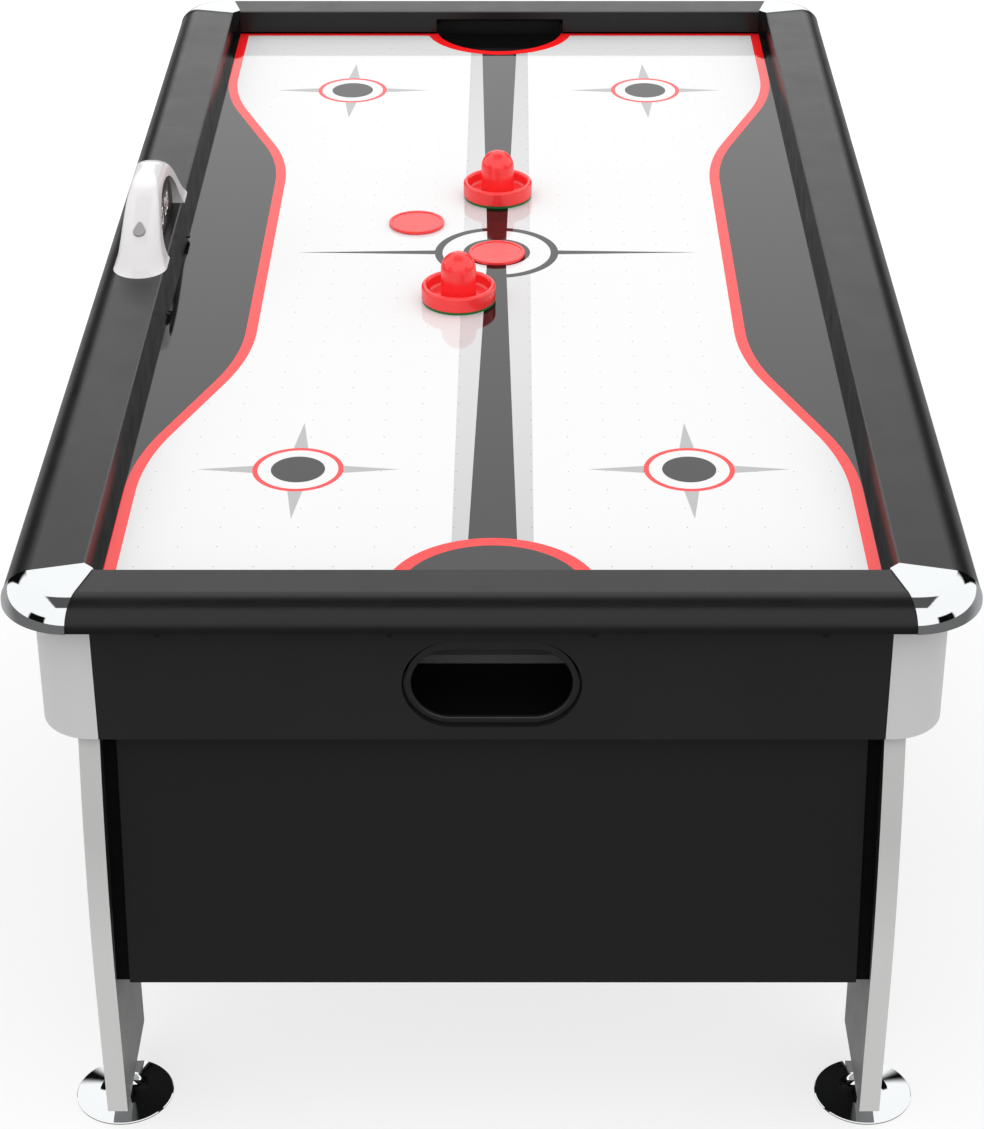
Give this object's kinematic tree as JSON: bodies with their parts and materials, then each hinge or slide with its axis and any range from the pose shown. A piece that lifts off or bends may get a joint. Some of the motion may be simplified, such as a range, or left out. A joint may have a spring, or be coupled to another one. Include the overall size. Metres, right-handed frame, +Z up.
{
  "type": "air hockey table",
  "caption": "Air hockey table with a glossy printed field, black rails, bright corner caps, silver legs, a rail scorer, strikers and pucks.",
  "frame": {"origin": "centre of the table's footprint, on the floor", "axes": "+Z up, +Y along the table from the near end to the far end, +X to the right; the scorer stands on the left rail"},
  "size_m": [1.219, 2.2828, 0.939],
  "materials": {
    "field_white": "white printed film on board, high gloss",
    "raw_board": "bare fibreboard",
    "rail_black": "board wrapped in black satin film",
    "board_black": "board with black matt laminate",
    "chrome": "polished",
    "post_silver": "satin silver-grey moulding",
    "leg_silver": "board with satin silver-grey laminate",
    "black_plastic": "fine texture",
    "dark_steel": "black",
    "steel": "zinc plated",
    "brass": "plain",
    "scorer_white": "high gloss",
    "scorer_grey": "satin",
    "dark_lens": "smoked, polished",
    "circuit_green": "solder mask",
    "red_plastic": "satin gloss",
    "green_felt": "felt"
  },
  "bodies": {
    "table": {"blower_grille": "dark_steel", "blower_housing": "black_plastic", "blower_motor": "steel", "chamber_frame": "raw_board", "chamber_sheet": "board_black", "corner_blocks": "raw_board", "corner_cap_far_left": "chrome", "corner_cap_far_right": "chrome", "corner_cap_near_left": "chrome", "corner_cap_near_right": "chrome", "corner_post_far_left": "post_silver", "corner_post_far_right": "post_silver", "corner_post_near_left": "post_silver", "corner_post_near_right": "post_silver", "dark_screws": "dark_steel", "end_apron_far": "board_black", "end_apron_near": "board_black", "end_panel_far": "board_black", "end_panel_near": "board_black", "end_rail_far": "rail_black", "end_rail_near": "rail_black", "foot_inserts": "steel", "goal_sensors": "black_plastic", "leg_blocks": "board_black", "leg_bolts": "steel", "leg_far_left": "leg_silver", "leg_far_right": "leg_silver", "leg_near_left": "leg_silver", "leg_near_right": "leg_silver", "panel_cleats": "board_black", "playfield": "field_white", "power_panel": "black_plastic", "power_pins": "brass", "return_bezel_far": "black_plastic", "return_bezel_near": "black_plastic", "return_box_far": "black_plastic", "return_box_near": "black_plastic", "scorer_board": "circuit_green", "scorer_display": "black_plastic", "scorer_lens": "dark_lens", "scorer_shell": "scorer_white", "side_apron_left": "board_black", "side_apron_right": "board_black", "side_rail_left": "rail_black", "side_rail_right": "rail_black"},
    "striker_near": {"striker_body_near": "red_plastic", "striker_felt_near": "green_felt"},
    "striker_far": {"striker_body_far": "red_plastic", "striker_felt_far": "green_felt"},
    "puck_left": {"puck_left": "red_plastic"},
    "puck_centre": {"puck_centre": "red_plastic"},
    "blower_rotor": {"blower_wheel": "black_plastic", "blower_shaft": "steel"},
    "power_rocker": {"power_rocker": "black_plastic"},
    "scorer_button_near": {"scorer_button_near": "scorer_grey"},
    "scorer_button_far": {"scorer_button_far": "scorer_grey"},
    "foot_near_left": {"leveling_foot_near_left": "chrome"},
    "foot_near_right": {"leveling_foot_near_right": "chrome"},
    "foot_far_left": {"leveling_foot_far_left": "chrome"},
    "foot_far_right": {"leveling_foot_far_right": "chrome"}
  },
  "joints": [
    {"name": "striker_near_slide", "type": "slide", "parent": "table", "child": "striker_near", "axis": [0, 1, 0], "range_m": [-0.82, 0.08]},
    {"name": "striker_far_slide", "type": "slide", "parent": "table", "child": "striker_far", "axis": [0, 1, 0], "range_m": [-0.12, 0.73]},
    {"name": "puck_left_slide", "type": "slide", "parent": "table", "child": "puck_left", "axis": [1, 0, 0], "range_m": [-0.33, 0.59]},
    {"name": "puck_centre_slide", "type": "slide", "parent": "table", "child": "puck_centre", "axis": [1, 0, 0], "range_m": [-0.46, 0.46]},
    {"name": "foot_near_left_screw", "type": "slide", "parent": "table", "child": "foot_near_left", "axis": [0, 0, -1], "range_m": [0, 0.02]},
    {"name": "foot_near_right_screw", "type": "slide", "parent": "table", "child": "foot_near_right", "axis": [0, 0, -1], "range_m": [0, 0.02]},
    {"name": "foot_far_left_screw", "type": "slide", "parent": "table", "child": "foot_far_left", "axis": [0, 0, -1], "range_m": [0, 0.02]},
    {"name": "foot_far_right_screw", "type": "slide", "parent": "table", "child": "foot_far_right", "axis": [0, 0, -1], "range_m": [0, 0.02]},
    {"name": "button_near_press", "type": "slide", "parent": "table", "child": "scorer_button_near", "axis": [0, 0.592, -0.806], "range_m": [0, 0.0015], "stiffness_N_per_m": 400, "springref_m": -0.002},
    {"name": "button_far_press", "type": "slide", "parent": "table", "child": "scorer_button_far", "axis": [0, -0.592, -0.806], "range_m": [0, 0.0015], "stiffness_N_per_m": 400, "springref_m": -0.002},
    {"name": "blower_spin", "type": "hinge", "parent": "table", "child": "blower_rotor", "pos_m": [0, 0.3, 0.7], "axis": [0, 0, 1], "continuous": true},
    {"name": "rocker_tip", "type": "hinge", "parent": "table", "child": "power_rocker", "pos_m": [0.573, 0.578, 0.705], "axis": [0, 1, 0], "range_deg": [-16, 0]}
  ]
}
